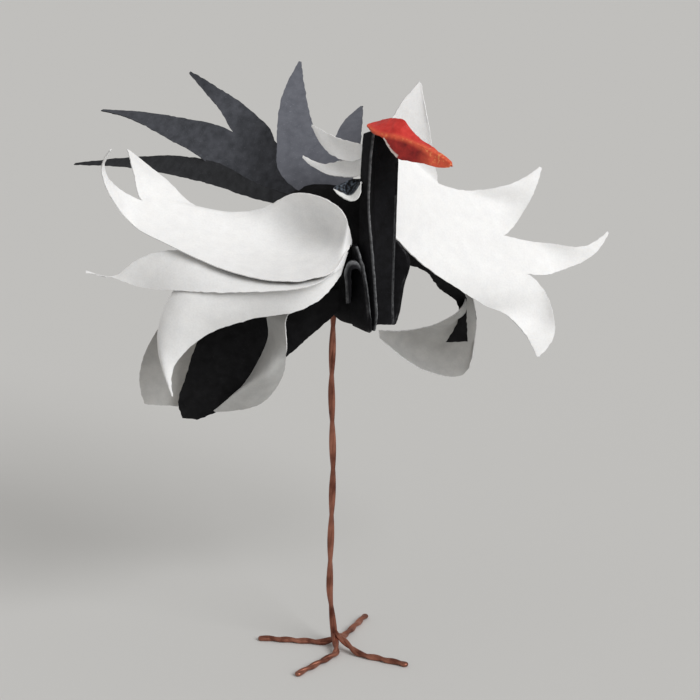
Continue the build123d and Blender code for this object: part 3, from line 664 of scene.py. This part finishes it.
def pleat_grid(rows, along=8, across=6):
    """Folded paper through rows of points, each row rounded from its first edge to its last."""
    rows = [np.array(row) for row in rows]
    fine = np.linspace(0, len(rows[0]) - 1, across * (len(rows[0]) - 1) + 1)
    grid = Grid()
    grid.add(np.array([smooth_line(line, fine) for line in along_nets(spans_through(rows), along)]))
    return grid


def ridge_points(forward, side, rear, near_side, far_side, width):
    """Points round one ridge: near back edge, three round the ridge, and far back edge."""
    cheek = forward - width * CHEEK_SHARE
    return [(rear, near_side), (cheek, side - width / 2), (forward, side), (cheek, side + width / 2),
            (rear, far_side)]


# Ridges of the neck and chest from the top down: height over the underside, ridge forward and
# to the far side, back edge forward, and the far-side places of the near and far back edges
NEAR_RIDGE = [
    (31.6, 10.9, -1.9, 8.8, -2.1, -1.2), (26.0, 10.5, -2.3, 8.4, -2.15, -1.2),
    (20.9, 10.3, -2.4, 8.2, -2.15, -1.2), (14.4, 10.6, -2.1, 8.1, -2.2, -1.2),
    (6.0, 11.3, -1.9, 8.1, -2.0, -1.0), (2.7, 11.5, -1.9, 8.1, -1.9, -0.9),
    (0.4, 11.1, -1.9, 8.2, -1.7, -0.9),
]
FAR_RIDGE = [
    (31.9, 11.0, 2.7, 8.1, 1.8, 2.9), (26.0, 11.05, 2.75, 8.1, 1.8, 2.95),
    (20.9, 10.9, 2.8, 8.1, 1.8, 3.0), (14.4, 10.4, 3.1, 8.1, 1.8, 2.9),
    (6.0, 10.6, 2.6, 8.1, 1.3, 2.2), (2.7, 10.7, 2.5, 8.1, 1.1, 2.0),
    (0.4, 10.9, 2.4, 8.2, 0.9, 1.8),
]
NEAR_FLAP = [
    (13.5, 8.6, -3.3, 7.0, -2.6, -1.9), (11.7, 9.45, -3.3, 7.0, -2.6, -1.9),
    (9.2, 10.1, -3.2, 6.6, -2.4, -1.7), (3.6, 10.9, -3.0, 6.1, -2.1, -1.4),
    (0.6, 10.8, -2.6, 6.0, -1.7, -1.0), (0.1, 10.2, -2.2, 6.0, -1.4, -0.8),
]
FAR_FLAP = [
    (13.5, 10.5, 3.6, 8.0, 2.2, 2.9), (11.2, 11.8, 4.4, 8.0, 2.2, 2.9),
    (6.0, 11.1, 4.0, 8.0, 1.9, 2.6), (1.6, 10.6, 3.5, 8.0, 1.4, 2.1),
    (0.3, 10.4, 3.2, 8.0, 1.2, 1.9),
]
# The neck's valley between its ridges: its place forward and half its width
VALLEY, VALLEY_HALF = 9.0, 0.4
# How much lower the back corners of the neck's top are than its ridges
NECK_TOP_SLANT = 0.7
# Widths of the rounded ridges, and how far back their cheeks lie as a share of the width
NECK_RIDGE_WIDTH, FLAP_RIDGE_WIDTH = 0.4, 0.32
CHEEK_SHARE = 0.6
PLEAT_THICKNESS, PLEAT_WAVE = 0.25, 0.08
# Steps between two places of a ridge that is painted grey as wear and highlight
WEAR_AND_HIGHLIGHT_STEPS = 24

# The fold beside the bowl, grey along its outer edge as wear and painted highlight, in space: rows of
# its back, outer and inner edges
HOOD = [
    [(2.7, -5.0, 60.6), (2.2, -8.9, 61.3), (2.7, -9.5, 61.6)],
    [(2.6, -5.0, 64.0), (2.05, -8.8, 64.3), (2.85, -9.6, 64.6)],
    [(2.5, -5.0, 66.4), (1.95, -8.8, 66.6), (2.8, -9.6, 66.5)],
    [(3.0, -5.0, 67.5), (2.67, -8.8, 67.75), (3.25, -9.6, 66.95)],
    [(3.6, -5.0, 67.6), (3.6, -8.8, 67.8), (3.7, -9.6, 66.95)],
    [(4.2, -5.0, 66.7), (4.6, -8.8, 66.9), (4.1, -9.4, 66.5)],
    [(4.6, -5.0, 65.4), (5.0, -8.6, 65.4), (4.5, -9.1, 65.2)],
    [(4.8, -5.0, 63.0), (5.2, -8.6, 63.0), (4.8, -9.0, 62.9)],
]


def placed_pleat(height, points):
    """A row of body points at one height."""
    return [body_point(forward, side, height) for forward, side in points]


def neck_rows():
    """Both neck ridges as one pleat, with the valley between them."""
    rows = []
    for near, far in zip(NEAR_RIDGE, FAR_RIDGE):
        first, second = (ridge_points(*ridge[1:], NECK_RIDGE_WIDTH) for ridge in (near, far))
        middle = (near[2] + far[2]) / 2
        valley = [(VALLEY, middle - VALLEY_HALF), (VALLEY, middle + VALLEY_HALF)]
        rows.append(placed_pleat(near[0], [*first[:4], *valley, *second[1:]]))
    for corner in (rows[0][0], rows[0][-1]):
        corner[2] -= NECK_TOP_SLANT
    return rows


def flap_rows(ridge):
    """One ridge as a doubled flap, open to the back."""
    return [placed_pleat(height, ridge_points(*place, FLAP_RIDGE_WIDTH)) for height, *place in ridge]


def add_wear_and_highlight_values(piece, ridges):
    """Gives each point of a piece a value from 0 to 1 for how close it lies to ridges painted grey as
    wear and highlight.
    """
    wear_and_highlight = []
    for vertex in piece.data.vertices:
        point = np.array(vertex.co) / MM
        value = 0.0
        for spots, reach, amount in ridges:
            gap = min(np.linalg.norm(point - spot) for spot in spots)
            value = max(value, amount * (1 - gap / reach))
        wear_and_highlight.append(value)
    piece.data.attributes.new("wear_and_highlight", "FLOAT", "POINT").data.foreach_set("value", wear_and_highlight)


def spots_down(points):
    """Closely spaced points down a line through points."""
    rows = [np.array([point]) for point in points]
    return [line[0] for line in along_nets(spans_through(rows), WEAR_AND_HIGHLIGHT_STEPS)]


def ridge_spots(ridge):
    """Closely spaced points down a ridge."""
    return spots_down([body_point(forward, side, height) for height, forward, side, *_ in ridge])


# Each pleat: its rows, and its ridges painted grey as wear and highlight, each as spots, how far the
# grey reaches and how much
PLEATS = {
    "neck": (neck_rows(), [(ridge_spots(NEAR_RIDGE), 0.5, 1.0),
                           (ridge_spots(FAR_RIDGE[2:]), 0.4, 0.6)]),
    "chest_near": (flap_rows(NEAR_FLAP), [(ridge_spots(NEAR_FLAP), 0.5, 1.0)]),
    "chest_far": (flap_rows(FAR_FLAP), [(ridge_spots(FAR_FLAP), 0.3, 0.7)]),
    "chest_hood": (HOOD, [(spots_down(np.array(HOOD[:6])[:, 1]), 1.1, 1.0)]),
}
for number, (name, (rows, ridges)) in enumerate(PLEATS.items()):
    piece = sheet_piece(name, pleat_grid(rows), (BLACK_WORN_AND_HIGHLIT, BLACK_WORN_AND_HIGHLIT, BLACK_WORN_AND_HIGHLIT), (1, -1, 0),
                        number + PLEAT_SEED, PLEAT_THICKNESS, PLEAT_WAVE)
    add_wear_and_highlight_values(piece, ridges)
    finish_piece(piece, "folded_sheet")

# Body sections from the rear: place forward, height from and to, and half widths near and far
BODY_THICKNESS = 0.3
BODY_STATIONS = [
    (-9.0, 11.7, 18.9, 1.2, 1.6), (-5.0, 5.5, 20.6, 1.6, 2.2), (-1.5, 2.2, 21.2, 1.9, 2.6),
    (1.8, 0.2, 21.4, 2.0, 2.8), (5.0, 0.0, 21.6, 2.0, 2.7), (8.4, 0.0, 21.6, 1.7, 2.2),
]
# Corners round each section: shares of its half width and of its height
BODY_CORNERS_SHARES = [
    (0.0, 1.0), (-0.7, 0.93), (-1.0, 0.74), (-0.8, 0.3), (-0.5, 0.05), (0.0, 0.0),
    (0.5, 0.05), (0.85, 0.35), (1.0, 0.72), (0.8, 0.93), (0.0, 1.0),
]


def body_grid():
    """The pressed body as one sheet that meets itself along the top."""
    rows = []
    for forward, low, high, near, far in BODY_STATIONS:
        rows.append(np.array([
            body_point(forward, side * (far if side > 0 else near), low + up * (high - low))
            for side, up in BODY_CORNERS_SHARES]))
    return pleat_grid(rows, across=5)


# Its outer side faces out as it is made, so it is given no way to face
piece = sheet_piece("body", body_grid(), (BLACK, BLACK, BLACK), (0, 0, 0), BODY_SEED, BODY_THICKNESS)
finish_piece(piece, "folded_sheet")

# Head sections from the back: place forward, height of the crest, height and half width of the
# side fold, and height and half width of the lower edge
HEAD_SECTIONS = [
    (9.3, 32.5, 32.3, 2.2, 32.0, 2.2), (11.4, 33.2, 31.6, 2.7, 31.3, 2.8),
    (13.4, 33.5, 31.3, 2.7, 30.9, 3.0), (14.9, 33.4, 31.3, 2.4, 29.5, 3.1),
    (16.6, 31.9, 31.0, 1.8, 28.3, 3.0), (18.8, 30.6, 30.4, 1.2, 28.0, 2.4),
    (20.8, 29.9, 29.8, 0.9, 27.9, 1.8), (23.0, 29.1, 28.95, 0.55, 27.5, 1.0),
    (24.6, 28.4, 28.25, 0.3, 27.6, 0.4),
]
HEAD_MIDDLE = 0.3
# Half widths on the head's far side, as shares of those on its near side
FAR_FOLD_SHARE = 0.55
FAR_CHIN_SHARE = 0.8
# The corner between the crest and a fold: its share of the fold's half width, and its lift
BROW_SHARE, BROW_LIFT = 0.5, 0.1
# The underside: shares of the lower edge's half width on its far and near side, and its lift
UNDER_FAR_SHARE, UNDER_NEAR_SHARE, UNDER_LIFT = 0.3, 0.4, 0.3
# The near fold's and near lower edge's corners, from the end of a section's closed line
FOLD_CORNER, CHIN_CORNER = -3, -5
# Crumpled facets: their seed and depth, and the size of the large and small ones
CRUMPLE_SEED, CRUMPLE = 4.0, 0.22
FACET, SMALL_FACET, SMALL_FACET_SHARE = 1.7, 0.8, 0.4
# The part of a facet's height that lies under the smooth surface
FACET_LEVEL = 0.35
# The place forward where the facets end, and the length over which they die out
CRUMPLE_END, CRUMPLE_FADE = 25.0, 3.0
# Facets that meet at more than this angle show a sharp edge
HEAD_SHARP_ANGLE = math.radians(24)
# Steps of the head's mesh from section to section, and from corner to corner
HEAD_STEPS_ALONG, HEAD_STEPS_ROUND = 7, 6
# How close to the fold it is rubbed and painted with highlight, and how close to the lower edge it is
# torn
FOLD_RUB_AND_HIGHLIGHT_REACH, TORN_REACH = 0.8, 0.25
# How rubbed it is at the fold, where its orange is also painted highlight, and for each millimetre out
# along the beak or out of the surface
FOLD_RUB_AND_HIGHLIGHT, BEAK_RUB, FACET_RUB = 0.8, 0.2, 1.5
# How pale the torn edge is, and how far under the fold the side painted darker as shade begins
TORN_PALENESS, PAINTED_SHADE_SIDE_DROP = 0.9, 0.15
# Places forward between which the lower edge is torn, and where the beak starts to be rubbed
TORN_FROM, TORN_TO, BEAK_FROM = 13.6, 16.4, 18.5


def head_section(forward, crest, fold, fold_half, chin, chin_half):
    """Corners of the head at one place, from the crest round the far side to the near side."""
    near = [(0.0, crest), (-fold_half * BROW_SHARE, (crest + fold) / 2 + BROW_LIFT),
            (-fold_half, fold), (-(fold_half + chin_half) / 2, (fold + chin) / 2),
            (-chin_half, chin)]
    shares = (FAR_FOLD_SHARE, FAR_FOLD_SHARE, (FAR_FOLD_SHARE + FAR_CHIN_SHARE) / 2, FAR_CHIN_SHARE)
    far = [(-side * share, height) for (side, height), share in zip(near[1:], shares)]
    under = [(chin_half * UNDER_FAR_SHARE, chin + UNDER_LIFT),
             (-chin_half * UNDER_NEAR_SHARE, chin + UNDER_LIFT)]
    corners = near[:1] + far + under + near[:0:-1]
    return [body_point(forward, HEAD_MIDDLE + side, height) for side, height in corners]


def crumpled(point):
    """A push for crumpled paper: sharp creases between flat facets."""
    cells = noise.voronoi(Vector(point) / FACET + Vector((CRUMPLE_SEED, 0, 0)))[0]
    fine = noise.voronoi(Vector(point) / SMALL_FACET + Vector((0, CRUMPLE_SEED, 0)))[0]
    return (CRUMPLE * (cells[1] - cells[0] - FACET_LEVEL)
            + CRUMPLE * SMALL_FACET_SHARE * (fine[1] - fine[0] - FACET_LEVEL))


def head_lines():
    """Closed lines of corners round the head, from its back to its tip."""
    rows = [np.array(head_section(*section)) for section in HEAD_SECTIONS]
    return along_nets(spans_through([np.array([*row, row[0]]) for row in rows]), HEAD_STEPS_ALONG)


def head_mesh(lines):
    """The head's smooth mesh, closed at the back and the tip."""
    rings = []
    for line in lines:
        ring = []
        for first, second in zip(line, line[1:]):
            ring += [first + (second - first) * k / HEAD_STEPS_ROUND for k in range(HEAD_STEPS_ROUND)]
        rings.append(ring)
    count = len(rings[0])
    points = [point for ring in rings for point in ring]
    faces = []
    for i in range(len(rings) - 1):
        for j in range(count):
            k = (j + 1) % count
            faces.append((i * count + j, i * count + k, (i + 1) * count + k, (i + 1) * count + j))
    for start, turn in ((0, -1), ((len(rings) - 1) * count, 1)):
        centre = len(points)
        points.append(np.mean(points[start:start + count], axis=0))
        for j in range(count):
            pair = (start + j, start + (j + 1) % count)
            faces.append((centre, *(pair if turn > 0 else pair[::-1])))
    mesh = bpy.data.meshes.new("head")
    mesh.from_pydata([tuple(p) for p in points], [], faces)
    mesh.update()
    return mesh


def make_head():
    """The crumpled red cap, with values for how rubbed and highlit, how low in the side's painted
    shade and how torn it is at each point.
    """
    lines = head_lines()
    mesh = head_mesh(lines)
    normals = [v.normal.copy() for v in mesh.vertices]
    fold, chin = ([line[corner] for line in lines] for corner in (FOLD_CORNER, CHIN_CORNER))
    places = [place_forward(spot) for spot in fold]
    heights = [spot[2] for spot in fold]
    values = {"wear_and_highlight": [], "side": [], "torn": []}
    for vertex, n in zip(mesh.vertices, normals):
        point = np.array(vertex.co)
        forward = place_forward(point)
        push = crumpled(point) * min(1.0, max(0.0, (CRUMPLE_END - forward) / CRUMPLE_FADE))
        crease, edge = (min(np.linalg.norm(point - spot) for spot in line) for line in (fold, chin))
        rubbed_and_highlit = max(0.0, 1 - crease / FOLD_RUB_AND_HIGHLIGHT_REACH) * FOLD_RUB_AND_HIGHLIGHT
        beak = max(0.0, forward - BEAK_FROM) * BEAK_RUB
        values["wear_and_highlight"].append(min(1.0, rubbed_and_highlit + max(0.0, push) * FACET_RUB + beak))
        # Points under the fold take the side's painted shade
        values["side"].append(float(point[2] < np.interp(forward, places, heights) - PAINTED_SHADE_SIDE_DROP))
        is_torn = edge < TORN_REACH and TORN_FROM < forward < TORN_TO
        values["torn"].append(TORN_PALENESS * is_torn)
        vertex.co = (vertex.co + n * push) * MM
    for label, numbers in values.items():
        mesh.attributes.new(label, "FLOAT", "POINT").data.foreach_set("value", numbers)
    mesh.shade_smooth()
    mesh.set_sharp_from_angle(angle=HEAD_SHARP_ANGLE)
    finish_piece(new_piece("head", mesh, [RED]), "red_head")


make_head()

# Leg and toes. Each route runs from the top or the tip to the middle of the foot.
# Radius of a strand, and how far its middle lies from the pair's
STRAND_RADIUS = 0.36
STRAND_GAP = 0.21
# Length of wire in which a pair turns once
LEG_PITCH = 16.0
TOE_PITCH = 6.4
# Places of the leg across and up
LEG_ROUTE = [(0, 57.6), (0, 56.6), (-0.32, 45.3), (-0.08, 31.1), (-0.56, 17.0), (-0.72, 9.6),
             (0, 2.4), (0, 0.7)]
# Each toe: how far out its tip is and in which direction, the same of its knee, and the height at
# which it leaves the leg
TOES = {
    "right": (14.33, -36.0, 6.1, -49.0, 2.4),
    "front": (13.3, -115.2, 4.3, -82.0, 2.1),
    "left": (12.33, 171.0, 1.8, 176.0, 1.2),
    "back": (12.33, 64.8, 3.4, 58.0, 1.45),
}
# Heights of a toe's tip and knee, as shares of half the pair's width
TIP_LIFT_SHARE, KNEE_LIFT_SHARE = 0.62, 0.8
# How far an eased corner reaches at most, as a length and as a share of its runs, and its points
EASED_CORNER, EASED_SHARE, EASED_POINTS = 1.2, 0.4, 7
# Distance between the points of a route, in the leg and in a toe
LEG_STEP, TOE_STEP = 0.35, 0.22
# How far the pair is turned where the leg begins, and the toes' gap over the floor
LEG_PHASE, FLOOR_GAP = 0.6, 0.01
# Sides of a strand, and points round the wire's turn at a toe's tip
TUBE_SIDES, BEND_POINTS = 14, 9


def rounded_route(points, step):
    """Evenly spaced points along a route whose corners are eased."""
    points = [np.array(p, float) for p in points]
    eased = [points[0]]
    for before, corner, after in zip(points, points[1:], points[2:]):
        reach = min(EASED_CORNER, np.linalg.norm(corner - before) * EASED_SHARE,
                    np.linalg.norm(after - corner) * EASED_SHARE)
        start = corner + (before - corner) / np.linalg.norm(before - corner) * reach
        end = corner + (after - corner) / np.linalg.norm(after - corner) * reach
        eased += [(1 - t) ** 2 * start + 2 * t * (1 - t) * corner + t * t * end
                  for t in np.linspace(0, 1, EASED_POINTS)]
    eased.append(points[-1])
    steps = [np.linalg.norm(b - a) for a, b in zip(eased, eased[1:])]
    lengths = np.concatenate([[0], np.cumsum(steps)])
    places = np.linspace(0, lengths[-1], int(lengths[-1] / step) + 1)
    route = np.stack([np.interp(places, lengths, [p[k] for p in eased]) for k in range(3)], axis=1)
    return route, places


def directions_at(line, k, level):
    """Two unit directions square to a line at its point k, the first one square to level too."""
    ahead = line[min(k + 1, len(line) - 1)] - line[max(k - 1, 0)]
    ahead = ahead / np.linalg.norm(ahead)
    aside = np.cross(level, ahead)
    aside = aside / np.linalg.norm(aside)
    return aside, np.cross(ahead, aside)


def strand_line(route, places, pitch, phase, level):
    """One strand's middle line, wound round the route."""
    line = []
    for k, (point, place) in enumerate(zip(route, places)):
        aside, other = directions_at(route, k, level)
        turn = 2 * math.pi * place / pitch + phase
        line.append(point + (aside * math.cos(turn) + other * math.sin(turn)) * STRAND_GAP)
    return np.array(line)


def add_tube(points, faces, line, level):
    """A closed round strand along a line, added to a mesh's points and faces."""
    base, sides = len(points), TUBE_SIDES
    for k, point in enumerate(line):
        aside, other = directions_at(line, k, level)
        for turn in np.linspace(0, 2 * math.pi, sides, endpoint=False):
            points.append(point + (aside * math.cos(turn) + other * math.sin(turn)) * STRAND_RADIUS)
    for k in range(len(line) - 1):
        for j in range(sides):
            a, b = base + k * sides + j, base + k * sides + (j + 1) % sides
            faces.append((a, b, b + sides, a + sides))
    faces.append(tuple(base + j for j in reversed(range(sides))))
    faces.append(tuple(base + (len(line) - 1) * sides + j for j in range(sides)))


def tube_piece(name, lines, level):
    """Tubes along lines as one copper piece."""
    points, faces = [], []
    for line in lines:
        add_tube(points, faces, line, level)
    mesh = bpy.data.meshes.new(name)
    mesh.from_pydata([tuple(p * MM) for p in points], [], faces)
    mesh.update()
    mesh.shade_smooth()
    mesh.set_sharp_from_angle(angle=SHARP_ANGLE)
    finish_piece(new_piece(name, mesh, [COPPER]), "leg_wire")


def make_leg():
    """The twisted pair of the leg."""
    route, places = rounded_route([(x, 0, z) for x, z in LEG_ROUTE], LEG_STEP)
    level = np.array((0.0, 1.0, 0.0))
    phases = (LEG_PHASE, LEG_PHASE + math.pi)
    tube_piece("leg", [strand_line(route, places, LEG_PITCH, phase, level) for phase in phases], level)


def make_toe(name, length, heading, knee_length, knee_heading, start):
    """One toe, wire doubled back and twisted on itself, with its turn at the tip."""
    turn, knee_turn = math.radians(heading), math.radians(knee_heading)
    lift = STRAND_RADIUS + STRAND_GAP
    tip = (length * math.cos(turn), length * math.sin(turn), lift * TIP_LIFT_SHARE)
    knee = (knee_length * math.cos(knee_turn), knee_length * math.sin(knee_turn),
            lift * KNEE_LIFT_SHARE)
    route, places = rounded_route([tip, knee, (0, 0, start)], TOE_STEP)
    level = np.array((0.0, 0.0, 1.0))
    first, second = (strand_line(route, places, TOE_PITCH, phase, level) for phase in (0, math.pi))
    centre = (first[0] + second[0]) / 2
    ahead = route[0] - route[1]
    ahead = ahead / np.linalg.norm(ahead)
    aside = (first[0] - second[0]) / 2
    bend = [centre + aside * math.cos(t) + ahead * math.sin(t) * STRAND_GAP
            for t in np.linspace(math.pi, 0, BEND_POINTS)][1:-1]
    line = np.array([*second[::-1], *bend, *first])
    line[:, 2] = np.maximum(line[:, 2], STRAND_RADIUS + FLOOR_GAP)
    tube_piece(name, [line], level)


make_leg()
for name, toe in TOES.items():
    make_toe(f"toe_{name}", *toe)


# The key light: its strength, its angle for soft shadows, and the way its light travels
KEY_STRENGTH, KEY_ANGLE = 2.2, math.radians(34)
KEY_TRAVEL = (-0.62, 0.60, -0.62)
# The studio's light from all sides
STUDIO_COLOUR, STUDIO_STRENGTH = (1.0, 0.975, 0.945, 1), 0.46
# The floor's colour, and half its width in metres
FLOOR_COLOUR, FLOOR_HALF = (0.60, 0.60, 0.59, 1), 4.0
# The camera's place in metres, and how many degrees down it looks
CAMERA_PLACE = (0.002669, -0.317216, 0.142162)
CAMERA_DOWN = 16
# Its sensor's width and its focal length, in millimetres
SENSOR_WIDTH, LENS = 36.0, 106.07


def add_floor():
    """A plain pale floor, wide enough for every view."""
    look = new_material("floor", Base_Color=FLOOR_COLOUR, Roughness=0.9)[0]
    mesh = bpy.data.meshes.new("floor")
    corners = [(x * FLOOR_HALF, y * FLOOR_HALF, 0) for x, y in ((-1, -1), (1, -1), (1, 1), (-1, 1))]
    mesh.from_pydata(corners, [], [(0, 1, 2, 3)])
    new_piece("floor", mesh, [look])


def add_lights():
    """An even white studio with one soft key from the upper right."""
    world = bpy.data.worlds.new("studio")
    bpy.context.scene.world = world
    world.use_nodes = True
    background = world.node_tree.nodes["Background"]
    background.inputs["Color"].default_value = STUDIO_COLOUR
    background.inputs["Strength"].default_value = STUDIO_STRENGTH
    sun = bpy.data.lights.new("key", "SUN")
    sun.energy, sun.angle = KEY_STRENGTH, KEY_ANGLE
    key = bpy.data.objects.new("key", sun)
    bpy.context.scene.collection.objects.link(key)
    key.rotation_euler = Vector(KEY_TRAVEL).to_track_quat("-Z", "Y").to_euler()


def add_camera():
    """The photo's camera, level with the bird and looking a little down."""
    camera = bpy.data.cameras.new("camera")
    camera.sensor_width, camera.lens = SENSOR_WIDTH, LENS
    holder = bpy.data.objects.new("camera", camera)
    bpy.context.scene.collection.objects.link(holder)
    holder.location = CAMERA_PLACE
    holder.rotation_euler = (math.radians(90 - CAMERA_DOWN), 0, 0)
    bpy.context.scene.camera = holder


add_floor()
add_lights()
add_camera()
bpy.context.scene.view_settings.view_transform = "Standard"
